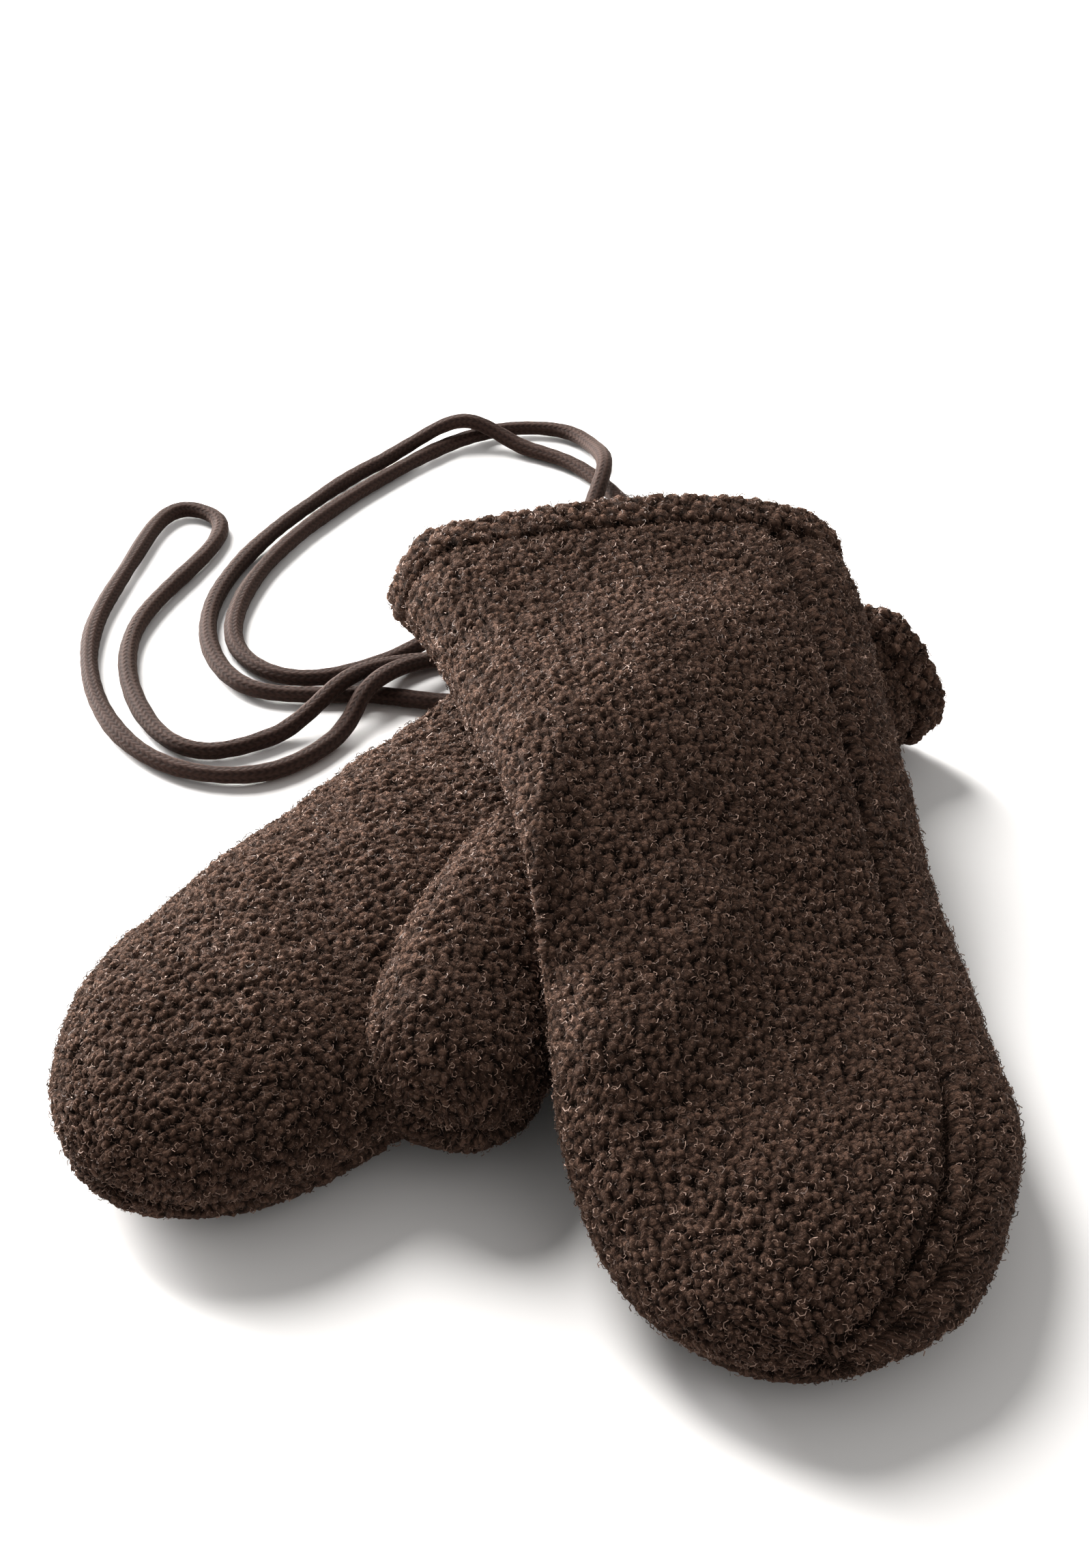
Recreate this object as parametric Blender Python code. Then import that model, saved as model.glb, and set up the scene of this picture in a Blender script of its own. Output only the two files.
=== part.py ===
# A pair of boucle pile mittens lying crossed, joined by one knitted tubular cord.
# Metres, +Z up. The camera side is -Y.
import math

import bpy
import numpy as np
from mathutils import Matrix

for old in list(bpy.data.objects):
    bpy.data.objects.remove(old, do_unlink=True)

# sizes of one mitten
HEM_WIDTH = 0.0115
TIP_LENGTH = 0.052
WALL = 0.0045
SEAM_GAP = 0.0003
SIDE_ROUND = 2.18
TIP_ROUND = 2.12

# share of length, half width, thickness, height of the widest line as a share of thickness
SECTIONS = np.array([
    [0.00, 0.0455, 0.0282, 0.50],
    [0.05, 0.0455, 0.0276, 0.50],
    [0.20, 0.0432, 0.0276, 0.47],
    [0.50, 0.0395, 0.0300, 0.46],
    [0.78, 0.0388, 0.0305, 0.44],
    [1.00, 0.0370, 0.0290, 0.42],
])

# where each mitten lies: cuff centre, length seen from above, heading from cuff to tip in degrees,
# share of full width, sideways bow, seam angles right and left.
# Both are the same length along the cloth: the upper one slopes.
LOWER = {
    "cuff": (0.0535, 0.0370),
    "length": 0.2120,
    "heading": 232.5,
    "spread": 0.92,
    "bow": -0.0042,
    "seams": (-8, 190),
}
UPPER = {
    "cuff": (0.0138, 0.0235),
    "length": 0.1970,
    "heading": 279.1,
    "spread": 1.03,
    "bow": 0.0063,
    "seams": (40, 203),
}

# the places above and the tables below are measured from a point in front of the cuffs; this moves the
# whole pair so that its origin is under the middle of the two mittens
MIDDLE = (-0.0007, -0.0548)

# the upper mitten rests on the lower one and comes down to the ground over RAMP
REST_HEIGHT = 0.0292
RAMP_START = 0.014
RAMP = 0.080
FAR_DROP = 0.18

# shallow dimples and swells: share of length, angle in degrees, height, reach along, reach in angle
LOWER_FOLDS = [
    [0.42, 120, -0.0016, 0.020, 40],
    [0.66, 60, 0.0012, 0.022, 40],
    [0.80, 130, -0.0010, 0.016, 35],
    [0.00, 44, 0.0085, 0.024, 23],
]
UPPER_FOLDS = [
    [0.16, 100, -0.0016, 0.012, 60],
    [0.36, 70, 0.0012, 0.024, 45],
    [0.60, 142, -0.0022, 0.012, 10],
    [0.74, 80, -0.0012, 0.022, 40],
    [0.00, 152, 0.0080, 0.026, 24],
]

# thumb, from root to tip: position (x, y, z) of its axis, half width, half thickness, roll in degrees
LOWER_THUMB = np.array([
    [-0.0005, -0.0420, 0.0180, 0.0105, 0.0095, 18],
    [-0.0052, -0.0610, 0.0210, 0.0132, 0.0118, 22],
    [-0.0100, -0.0805, 0.0214, 0.0162, 0.0135, 24],
    [-0.0146, -0.1010, 0.0194, 0.0180, 0.0142, 22],
    [-0.0165, -0.1240, 0.0164, 0.0178, 0.0138, 14],
])
UPPER_THUMB = np.array([
    [0.0330, -0.0680, 0.0300, 0.0120, 0.0095, 0],
    [0.0280, -0.0800, 0.0230, 0.0125, 0.0090, 0],
    [0.0228, -0.0920, 0.0135, 0.0128, 0.0078, 0],
    [0.0182, -0.1035, 0.0088, 0.0122, 0.0072, 0],
    [0.0136, -0.1150, 0.0082, 0.0114, 0.0070, 0],
])
THUMB_WALL = 0.0038
THUMB_TIP = 0.020

CORD_DIAMETER = 0.0040
CORD_ROUTE = [
    # x, y and z in millimetres, from the lower cuff to the hem of the upper one
    (30.8, 55.6, 2.4), (30.5, 79.6, 2.3), (24.2, 107, 2.2), (17.3, 123.5, 2.2),
    (11.2, 134.2, 2.2), (3, 142.6, 2.2), (-6.6, 148.4, 2.6), (-20.6, 153.9, 6.9),
    (-33.6, 148.1, 4.2), (-63.8, 109.8, 2.5), (-75.2, 85.5, 2.2), (-76.3, 47.9, 2.3),
    (-66.5, 33.9, 2.4), (-37.2, 30.9, 2.2), (-15.4, 28.4, 2.6), (-8.5, 33.7, 2.4),
    (-11.8, 41.2, 2.2), (-40.5, 25, 5.9), (-42.2, 21.1, 4.1), (-61.6, 0.7, 2.3),
    (-79.4, 3.2, 2.2), (-98.1, 24.4, 2.2), (-105.4, 55.1, 2.2), (-100.1, 93.2, 2.2),
    (-89.1, 115, 2.2), (-84.3, 112.6, 2.2), (-86.2, 85.7, 2.2), (-95.3, 60.1, 2.3),
    (-90.6, 26.9, 2.2), (-75.3, 9.4, 2.3), (-56.7, 17.2, 2.5), (-45.2, 29.5, 6.7),
    (-27.7, 45, 2.2), (0.8, 61.2, 2.5), (-0.2, 70, 2.2), (-7.3, 70.8, 2.2),
    (-28.9, 52.1, 2.2), (-59.6, 39, 2.2), (-69.9, 48.5, 2.2), (-72.7, 66.4, 2.2),
    (-56.9, 109.9, 2.2), (-37.8, 136.2, 2.2), (-5, 158.9, 2.2), (6.5, 156, 2.3),
    (12.6, 146.6, 3.4), (15, 136.5, 5.9), (15.3, 129, 6.9), (13.9, 121.5, 5.5),
    (11.4, 112.5, 3), (9.8, 98.5, 2.2), (9.8, 84.5, 2.2), (2.1, 50, 7.3),
    (-1, 45.3, 11.7), (2.3, 23.3, 32.8),
]
CORD_POINTS = 110

RING = 32
STATIONS = 13
TIP_STATIONS = 8


def ease(x):
    x = np.clip(x, 0, 1)
    return x * x * (3 - 2 * x)


def column(table, at, k):
    """One column of a table at any share, on a smooth curve through its rows."""
    x = table[:, 0]
    y = table[:, k]
    slope = np.gradient(y, x)
    at = np.clip(at, x[0], x[-1])
    i = np.clip(np.searchsorted(x, at, side="right") - 1, 0, len(x) - 2)
    h = x[i + 1] - x[i]
    t = (at - x[i]) / h
    first = (2 * t**3 - 3 * t**2 + 1) * y[i] + (t**3 - 2 * t**2 + t) * h * slope[i]
    return first + (-2 * t**3 + 3 * t**2) * y[i + 1] + (t**3 - t**2) * h * slope[i + 1]


def frame_of(place):
    angle = math.radians(place["heading"])
    ahead = np.array([math.cos(angle), math.sin(angle)])
    return ahead, np.array([-ahead[1], ahead[0]])


def bow_at(place, along):
    share = along / place["length"]
    return place["bow"] * 4 * share * (1 - share)


def rise(x, y):
    """Height of what is under the upper mitten: a ramp over the lower one, and two thumbs as mounds."""
    ahead, side = frame_of(LOWER)
    dx = x - LOWER["cuff"][0]
    dy = y - LOWER["cuff"][1]
    along = np.clip(dx * ahead[0] + dy * ahead[1], 0, LOWER["length"])
    across = dx * side[0] + dy * side[1] - bow_at(LOWER, along)
    up = REST_HEIGHT * ease((RAMP_START + RAMP - across) / RAMP)
    up = up * (1 - FAR_DROP * ease((-across - 0.022) / 0.042))
    ramp = up
    for a, b, wide, high in (
        (LOWER_THUMB[1], LOWER_THUMB[3], 0.0150, 0.0335),
        (UPPER_THUMB[2], UPPER_THUMB[4], 0.0130, 0.0170),
    ):
        run = (b - a)[:2]
        t = np.clip(((x - a[0]) * run[0] + (y - a[1]) * run[1]) / (run @ run), 0, 1)
        off = np.hypot(x - a[0] - t * run[0], y - a[1] - t * run[1])
        mound = high * (1 - ease((off - 0.45 * wide) / (1.25 * wide)))
        up = 0.5 * (up + mound + np.sqrt((up - mound) ** 2 + (0.003 * mound / high) ** 2))
    return ramp, up


def body(place, along, angle, inset, folds, raised):
    """Points of the surface, moved in by inset: angle 0 is at the left of the cuff, 90 on top."""
    length = place["length"] - max(inset, 0.0)
    tip = TIP_LENGTH - 0.5 * max(inset, 0.0)
    along = np.asarray(along, float)[:, None] * (length / place["length"])
    angle = np.asarray(angle, float)
    share = along / length
    half = column(SECTIONS, share, 1) * place["spread"] - inset
    thick = column(SECTIONS, share, 2)
    waist = column(SECTIONS, share, 3) * thick
    q = np.clip((along - (length - tip)) / tip, 0, 1)
    cap = (1 - q**TIP_ROUND) ** (1 / TIP_ROUND)
    flat_cap = (1 - q**2.5) ** (1 / 2.5)
    c = np.cos(angle)
    s = np.sin(angle)
    swell = 0.0
    for at, turn, high, reach, spread in folds:
        turned = np.angle(np.exp(1j * (angle - math.radians(turn)))) / math.radians(spread)
        swell = swell + high * np.exp(-(((along - at * length) / reach) ** 2)) * np.exp(-(turned**2))
    across = half * cap * np.sign(c) * np.abs(c) ** (2 / SIDE_ROUND)
    over = (thick - waist - inset + swell) * flat_cap * np.abs(s) ** (2 / SIDE_ROUND)
    under = (waist - inset + 0.0012) * flat_cap * np.abs(s) ** (2 / 2.6)
    height = np.maximum(waist + np.where(s > 0, over, -under), max(inset, 0.0))
    ahead, side = frame_of(place)
    offset = across + bow_at(place, along)
    x = place["cuff"][0] + along * ahead[0] + offset * side[0]
    y = place["cuff"][1] + along * ahead[1] + offset * side[1]
    if raised:
        ramp, ground = rise(x, y)
        height = height + ramp + (ground - ramp) * (1 - 0.65 * ease((s + 0.3) / 1.1))
    return np.stack([x, y, height + np.zeros_like(x)], -1)


def stations(place, start):
    shoulder = place["length"] - TIP_LENGTH
    turn = np.linspace(0, math.pi / 2, TIP_STATIONS + 1)[1:]
    return np.concatenate([np.linspace(start, shoulder, STATIONS), shoulder + TIP_LENGTH * np.sin(turn)])


def shell(outer, inner):
    """A closed panel from two grids whose last row is one point."""
    rows, cols = outer.shape[:2]
    points = np.concatenate([
        outer[:-1].reshape(-1, 3), outer[-1:, 0], inner[:-1].reshape(-1, 3), inner[-1:, 0],
    ])
    skip = (rows - 1) * cols + 1
    faces = []

    def at(layer, i, j):
        return layer * skip + (min(i, rows - 1) * cols + (j if i < rows - 1 else 0))

    for i in range(rows - 1):
        for j in range(cols - 1):
            for layer in (0, 1):
                corners = [at(layer, i, j), at(layer, i, j + 1), at(layer, i + 1, j + 1)]
                corners.append(at(layer, i + 1, j))
                if i == rows - 2:
                    corners = corners[:3]
                faces.append(corners[::-1] if layer else corners)
        last = cols - 1
        faces.append([at(0, i, 0), at(1, i + 1, 0), at(1, i, 0)])
        faces.append([at(0, i, 0), at(0, i + 1, 0), at(1, i + 1, 0)])
        faces.append([at(0, i, last), at(1, i, last), at(1, i + 1, last)])
        faces.append([at(0, i, last), at(1, i + 1, last), at(0, i + 1, last)])
    for j in range(cols - 1):
        faces.append([at(0, 0, j), at(1, 0, j), at(1, 0, j + 1), at(0, 0, j + 1)])
    return points, faces


def ring_tube(grid):
    """A closed ring: rows run round the band's own section, columns round the wrist."""
    rows, cols = grid.shape[:2]
    faces = []
    for i in range(rows):
        for j in range(cols):
            k = (i + 1) % rows
            m = (j + 1) % cols
            faces.append([i * cols + j, i * cols + m, k * cols + m, k * cols + j])
    return grid.reshape(-1, 3), faces


def material(name, colour, roughness):
    made = bpy.data.materials.new(name)
    made.use_nodes = True
    shader = made.node_tree.nodes["Principled BSDF"]
    shader.inputs["Base Color"].default_value = (*colour, 1.0)
    shader.inputs["Roughness"].default_value = roughness
    return made


def solid(name, points, faces, colour, roughness=0.95):
    mesh = bpy.data.meshes.new(name)
    mesh.from_pydata([tuple(p) for p in points], [], faces)
    mesh.validate()
    corners = [(f[0], f[k], f[k + 1]) for f in faces for k in range(1, len(f) - 1)]
    tri = np.asarray(points)[np.array(corners)]
    if np.linalg.det(tri - np.asarray(points).mean(0)).sum() < 0:
        mesh.flip_normals()
    made = bpy.data.objects.new(name, mesh)
    bpy.context.scene.collection.objects.link(made)
    mesh.materials.append(material(name, colour, roughness))
    return made


def cut(target, cutter):
    made = target.modifiers.new("cut " + cutter.name, "BOOLEAN")
    made.operation = "DIFFERENCE"
    made.solver = "EXACT"
    made.object = cutter


def helper(name, points, faces):
    made = solid(name, points, faces, (0.5, 0.5, 0.5))
    made.hide_render = True
    made.display_type = "WIRE"
    return made


def closed_tube(grid):
    """A closed body from rings: a flat first end, and a last row that is one point."""
    rows, cols = grid.shape[:2]
    points = np.concatenate([grid[:-1].reshape(-1, 3), grid[-1:, 0], grid[:1].mean(1)])
    pole = (rows - 1) * cols
    faces = []
    for i in range(rows - 2):
        for j in range(cols):
            m = (j + 1) % cols
            faces.append([i * cols + j, i * cols + m, (i + 1) * cols + m, (i + 1) * cols + j])
    for j in range(cols):
        m = (j + 1) % cols
        faces.append([(rows - 2) * cols + j, (rows - 2) * cols + m, pole])
        faces.append([m, j, pole + 1])
    return points, faces


def thumb(table, inset, angles, lift, reach):
    """Rings of a thumb along its own axis, the last one a point. reach lengthens it at the root."""
    axis = table[:, :3]
    steps = np.linalg.norm(np.diff(axis, axis=0), axis=1)
    whole = np.concatenate([[0], np.cumsum(steps)])
    keyed = np.column_stack([whole / whole[-1], table])
    total = whole[-1] - max(inset, 0)
    tip = THUMB_TIP - 0.5 * max(inset, 0)
    along = np.concatenate([
        np.linspace(-reach, total - tip, 8),
        total - tip + tip * np.sin(np.linspace(0, math.pi / 2, 7)[1:]),
    ])
    rows = []
    for a in along:
        share = np.clip(a / whole[-1], 0, 1)
        centre = np.array([column(keyed, share, k) for k in (1, 2, 3)], float)
        near = np.array([column(keyed, min(share + 0.01, 1), k) for k in (1, 2, 3)], float)
        far = np.array([column(keyed, max(share - 0.01, 0), k) for k in (1, 2, 3)], float)
        ahead = (near - far) / np.linalg.norm(near - far)
        if a < 0:
            centre = centre + ahead * a
        side = np.cross(ahead, [0, 0, 1])
        side = -side / np.linalg.norm(side)
        up = np.cross(ahead, side)
        up = up if up[2] > 0 else -up
        q = np.clip((a - (total - tip)) / tip, 0, 1)
        cap = max(1 - q**2.2, 0.0) ** (1 / 2.2)
        wide = (float(column(keyed, share, 4)) - inset) * cap
        thick = (float(column(keyed, share, 5)) - inset) * cap
        c = np.cos(angles)
        s = np.sin(angles)
        across = wide * np.sign(c) * np.abs(c) ** (2 / 2.2)
        high = thick * np.sign(s) * np.abs(s) ** (2 / 2.2)
        roll = math.radians(float(column(keyed, share, 6)))
        tilted = math.cos(roll) * side - math.sin(roll) * up
        raised_side = math.sin(roll) * side + math.cos(roll) * up
        row = centre + across[:, None] * tilted + high[:, None] * raised_side
        rows.append(row)
    grid = np.array(rows)
    grid[..., 2] = np.maximum(grid[..., 2], 0.0003 + max(inset, 0.0)) + lift
    return grid


def smooth(route, at):
    """Points at shares of one smooth curve that passes through the route's points."""
    t = np.concatenate([[0], np.cumsum(np.linalg.norm(np.diff(route, axis=0), axis=1))])
    h = np.diff(t)
    count = len(t)
    system = np.eye(count)
    right = np.zeros((count, 3))
    for k in range(1, count - 1):
        system[k, k - 1 : k + 2] = h[k - 1], 2 * (h[k - 1] + h[k]), h[k]
        right[k] = 6 * ((route[k + 1] - route[k]) / h[k] - (route[k] - route[k - 1]) / h[k - 1])
    bend = np.linalg.solve(system, right)
    x = at * t[-1]
    i = np.clip(np.searchsorted(t, x, side="right") - 1, 0, count - 2)
    a = ((t[i + 1] - x) / h[i])[:, None]
    b = 1 - a
    curved = ((a**3 - a) * bend[i] + (b**3 - b) * bend[i + 1]) * (h[i] ** 2)[:, None] / 6
    return a * route[i] + b * route[i + 1] + curved


def closer_in_turns(fine, count):
    """Shares of the fine curve's run, closer together where it bends."""
    first = np.gradient(fine, axis=0)
    second = np.gradient(first, axis=0)
    speed = np.linalg.norm(first, axis=1)
    turn = np.linalg.norm(np.cross(first, second), axis=1) / speed**3
    weight = np.convolve(np.sqrt(turn) + 0.06, np.ones(101) / 101, "same")
    run = np.concatenate([[0], np.cumsum((weight[1:] + weight[:-1]) / 2)])
    return np.interp(np.linspace(0, 1, count), run / run[-1], np.linspace(0, 1, len(fine)))


BROWN = (0.055, 0.038, 0.031)
DARK = (0.043, 0.030, 0.025)
ALL_ROUND = np.linspace(0, 2 * math.pi, RING + 1)[:-1]

HEM_PROFILE = [
    # along, inset
    [HEM_WIDTH, 0.0004],
    [HEM_WIDTH - 0.0012, -0.0004],
    [HEM_WIDTH * 0.55, -0.0009],
    [0.0022, -0.0007],
    [0.0006, 0.0006],
    [0.0000, 0.0024],
    [0.0007, 0.0042],
    [0.0026, 0.0052],
    [HEM_WIDTH, 0.0050],
]

for label, place, folds, raised, thumb_table in (
    ("lower", LOWER, LOWER_FOLDS, False, LOWER_THUMB),
    ("upper", UPPER, UPPER_FOLDS, True, UPPER_THUMB),
):
    right, left = (math.radians(a) for a in place["seams"])
    over = np.linspace(right, left, RING // 2 + 1)
    below = np.linspace(left, right + 2 * math.pi, RING // 2 + 1)
    rows = stations(place, HEM_WIDTH + SEAM_GAP)
    lift = np.array([0, 0, SEAM_GAP])

    back = shell(
        body(place, rows, over, 0.0, folds, raised) + lift,
        body(place, rows, over, WALL, folds, raised) + lift,
    )
    palm = shell(
        body(place, rows, below, 0.0, folds, raised),
        body(place, rows, below, WALL, folds, raised),
    )
    back = solid(label + "_back", *back, BROWN)
    palm = solid(label + "_palm", *palm, DARK)

    hem = np.array([body(place, [s], ALL_ROUND, i, folds, raised)[0] for s, i in HEM_PROFILE])
    solid(label + "_hem", *ring_tube(hem), BROWN)

    grown = body(place, [0.0, *rows], ALL_ROUND, -2.4 * SEAM_GAP, folds, raised)
    grown[..., 2] -= np.where(np.sin(ALL_ROUND) < 0, 0.0022 if raised else 0.0007, 0.0)
    grown_solid = helper(label + "_room", *closed_tube(grown))

    core = thumb(thumb_table, THUMB_WALL, ALL_ROUND[::2], 0.0, 0.0)
    core_solid = helper(label + "_thumb_room", *closed_tube(core))
    cut(back, core_solid)
    cut(palm, core_solid)

    for half, start in (("outer", 0.0), ("inner", math.pi)):
        angles = np.linspace(start, start + math.pi, 11)
        up = np.array([0, 0, SEAM_GAP if half == "outer" else 0.0])
        piece = shell(
            thumb(thumb_table, 0.0, angles, 0.0, 0.002) + up,
            thumb(thumb_table, THUMB_WALL, angles, 0.0, 0.002) + up,
        )
        cut(solid(label + "_thumb_" + half, *piece, BROWN if half == "outer" else DARK), grown_solid)

run = bpy.data.curves.new("cord", "CURVE")
run.dimensions = "3D"
run.bevel_depth = CORD_DIAMETER / 2
run.bevel_resolution = 2
run.use_fill_caps = True
route = np.array(CORD_ROUTE)
shares = closer_in_turns(smooth(route, np.linspace(0, 1, 4000)), CORD_POINTS)
centres = smooth(route, shares)
centres[:, 2] = np.maximum(centres[:, 2], 2.15)
line = run.splines.new("POLY")
line.points.add(CORD_POINTS - 1)
for point, (x, y, z) in zip(line.points, centres / 1000):
    point.co = (x, y, z, 1.0)
cord = bpy.data.objects.new("cord", run)
bpy.context.scene.collection.objects.link(cord)
run.materials.append(material("cord", (0.060, 0.043, 0.036), 0.8))

for made in bpy.data.objects:
    made.data.transform(Matrix.Translation((-MIDDLE[0], -MIDDLE[1], 0.0)))
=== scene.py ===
import math

import bpy
import numpy as np
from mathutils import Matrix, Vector


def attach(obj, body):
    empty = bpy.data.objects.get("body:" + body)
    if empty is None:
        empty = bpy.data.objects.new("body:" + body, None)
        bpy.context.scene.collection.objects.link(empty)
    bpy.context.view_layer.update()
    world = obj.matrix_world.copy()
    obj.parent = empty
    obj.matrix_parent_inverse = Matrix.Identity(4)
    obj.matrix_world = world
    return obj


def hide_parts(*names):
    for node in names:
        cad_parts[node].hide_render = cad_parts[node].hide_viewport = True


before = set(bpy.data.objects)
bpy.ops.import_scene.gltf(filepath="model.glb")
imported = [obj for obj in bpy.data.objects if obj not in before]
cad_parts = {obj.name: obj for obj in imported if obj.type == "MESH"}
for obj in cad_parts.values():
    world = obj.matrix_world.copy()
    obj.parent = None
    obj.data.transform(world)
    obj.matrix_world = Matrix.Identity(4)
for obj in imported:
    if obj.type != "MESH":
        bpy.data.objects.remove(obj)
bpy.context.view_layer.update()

# Camera: it stands on the side of the fingertips and looks down on the pair at about 36 degrees,
# as the photograph does.
lens = bpy.data.cameras.new("camera")
lens.sensor_width = 36.0
lens.lens = 55.61
lens.clip_start = 0.01
lens.clip_end = 20.0
camera = bpy.data.objects.new("camera", lens)
bpy.context.scene.collection.objects.link(camera)
camera.location = (0.0007, -0.3659, 0.3057)
camera.rotation_euler = (math.radians(54.0), 0.0, 0.0)
bpy.context.scene.camera = camera

# Cord: a soft tube knitted on a small circular machine, pressed a little flat, with wales along it.
# One end goes into the lower mitten's cuff and the other is sewn at the hem of the upper one.
CORD_DIAMETER = 0.0040
CORD_SHIFT = (0.0007, 0.0548, 0.0)
CORD_ROUTE = [
    # x, y and z in millimetres, from the lower cuff to the hem of the upper one
    (30.8, 55.6, 2.4), (30.5, 79.6, 2.3), (24.2, 107, 2.2), (17.3, 123.5, 2.2),
    (11.2, 134.2, 2.2), (3, 142.6, 2.2), (-6.6, 148.4, 2.6), (-20.6, 153.9, 6.9),
    (-33.6, 148.1, 4.2), (-63.8, 109.8, 2.5), (-75.2, 85.5, 2.2), (-76.3, 47.9, 2.3),
    (-66.5, 33.9, 2.4), (-37.2, 30.9, 2.2), (-15.4, 28.4, 2.6), (-8.5, 33.7, 2.4),
    (-11.8, 41.2, 2.2), (-40.5, 25, 5.9), (-42.2, 21.1, 4.1), (-61.6, 0.7, 2.3),
    (-79.4, 3.2, 2.2), (-98.1, 24.4, 2.2), (-105.4, 55.1, 2.2), (-100.1, 93.2, 2.2),
    (-89.1, 115, 2.2), (-84.3, 112.6, 2.2), (-86.2, 85.7, 2.2), (-95.3, 60.1, 2.3),
    (-90.6, 26.9, 2.2), (-75.3, 9.4, 2.3), (-56.7, 17.2, 2.5), (-45.2, 29.5, 6.7),
    (-27.7, 45, 2.2), (0.8, 61.2, 2.5), (-0.2, 70, 2.2), (-7.3, 70.8, 2.2),
    (-28.9, 52.1, 2.2), (-59.6, 39, 2.2), (-69.9, 48.5, 2.2), (-72.7, 66.4, 2.2),
    (-56.9, 109.9, 2.2), (-37.8, 136.2, 2.2), (-5, 158.9, 2.2), (6.5, 156, 2.3),
    (12.6, 146.6, 3.4), (15, 136.5, 5.9), (15.3, 129, 6.9), (13.9, 121.5, 5.5),
    (11.4, 112.5, 3), (9.8, 98.5, 2.2), (9.8, 84.5, 2.2), (2.1, 50, 7.3),
    (-1, 45.3, 11.7), (2.3, 23.3, 32.8),
]
CORD_ROWS = 960
CORD_SIDES = 20
CORD_LOWEST = 2.15  # height of the middle line, in millimetres as in the route
CORD_WIDER = 0.00022
CORD_FLATTER = 0.00010
WALES = 8
WALE_DEPTH = 0.00016
STITCH_LENGTH = 0.0016
STITCH_SLANT = 1.3
STITCH_RELIEF = 0.00004


def smooth(route, at):
    """Points at shares of one smooth curve that passes through the route's points."""
    t = np.concatenate([[0], np.cumsum(np.linalg.norm(np.diff(route, axis=0), axis=1))])
    h = np.diff(t)
    count = len(t)
    system = np.eye(count)
    right = np.zeros((count, route.shape[1]))
    for k in range(1, count - 1):
        system[k, k - 1 : k + 2] = h[k - 1], 2 * (h[k - 1] + h[k]), h[k]
        right[k] = 6 * ((route[k + 1] - route[k]) / h[k] - (route[k] - route[k - 1]) / h[k - 1])
    bend = np.linalg.solve(system, right)
    x = at * t[-1]
    i = np.clip(np.searchsorted(t, x, side="right") - 1, 0, count - 2)
    a = ((t[i + 1] - x) / h[i])[:, None]
    b = 1 - a
    curved = ((a**3 - a) * bend[i] + (b**3 - b) * bend[i + 1]) * (h[i] ** 2)[:, None] / 6
    return a * route[i] + b * route[i + 1] + curved


def unit(v):
    return v / np.maximum(np.linalg.norm(v, axis=-1, keepdims=True), 1e-12)


def mesh_piece(name, points, triangles, materials, kinds=None, numbers=None, vectors=None):
    """One smooth-shaded piece from arrays, with numbers and vectors kept at its points."""
    a, b, c = (points[triangles[:, k]] for k in range(3))
    if np.einsum("ij,ij->i", a, np.cross(b, c)).sum() < 0:
        triangles = triangles[:, ::-1]
    mesh = bpy.data.meshes.new(name)
    mesh.vertices.add(len(points))
    mesh.vertices.foreach_set("co", points.astype(np.float32).ravel())
    mesh.loops.add(3 * len(triangles))
    mesh.loops.foreach_set("vertex_index", triangles.astype(np.int32).ravel())
    mesh.polygons.add(len(triangles))
    mesh.polygons.foreach_set("loop_start", np.arange(0, 3 * len(triangles), 3, dtype=np.int32))
    if kinds is not None:
        mesh.polygons.foreach_set("material_index", kinds.astype(np.int32))
    for key, values in (numbers or {}).items():
        kept = mesh.attributes.new(key, "FLOAT", "POINT")
        kept.data.foreach_set("value", values.astype(np.float32))
    for key, values in (vectors or {}).items():
        kept = mesh.attributes.new(key, "FLOAT_VECTOR", "POINT")
        kept.data.foreach_set("vector", values.astype(np.float32).ravel())
    mesh.update(calc_edges=True)
    mesh.validate()
    mesh.polygons.foreach_set("use_smooth", np.ones(len(mesh.polygons), dtype=bool))
    for finish in materials:
        mesh.materials.append(finish)
    piece = bpy.data.objects.new(name, mesh)
    bpy.context.scene.collection.objects.link(piece)
    return piece


class Nodes:
    """A node tree built one node at a time, each fed from earlier ones."""

    def __init__(self, tree):
        self.tree = tree

    def add(self, kind, settings=None, **inputs):
        whole = kind if kind.startswith(("Geometry", "Function")) else "ShaderNode" + kind
        node = self.tree.nodes.new(whole)
        for key, value in (settings or {}).items():
            setattr(node, key, value)
        for key, value in inputs.items():
            slot = int(key[1:]) if key[0] == "n" and key[1:].isdigit() else key.replace("_", " ")
            self.put(node.inputs[slot], value)
        return node

    def put(self, socket, value):
        if isinstance(value, bpy.types.NodeSocket):
            self.tree.links.new(value, socket)
        else:
            socket.default_value = value

    def math(self, operation, *values):
        inputs = {f"n{k}": value for k, value in enumerate(values)}
        return self.add("Math", {"operation": operation}, **inputs).outputs[0]

    def stored(self, name, kind="FLOAT"):
        """An attribute kept at the mesh's points."""
        node = self.add("GeometryNodeInputNamedAttribute", {"data_type": kind}, Name=name)
        return node.outputs["Attribute"]

    def chance(self, low, high, seed):
        """A random number for each point."""
        node = self.add("FunctionNodeRandomValue", {"data_type": "FLOAT"})
        sockets = {socket.name: socket for socket in node.inputs if socket.enabled}
        for label, value in (("Min", low), ("Max", high), ("Seed", seed)):
            sockets[label].default_value = value
        return [socket for socket in node.outputs if socket.enabled][0]


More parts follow.
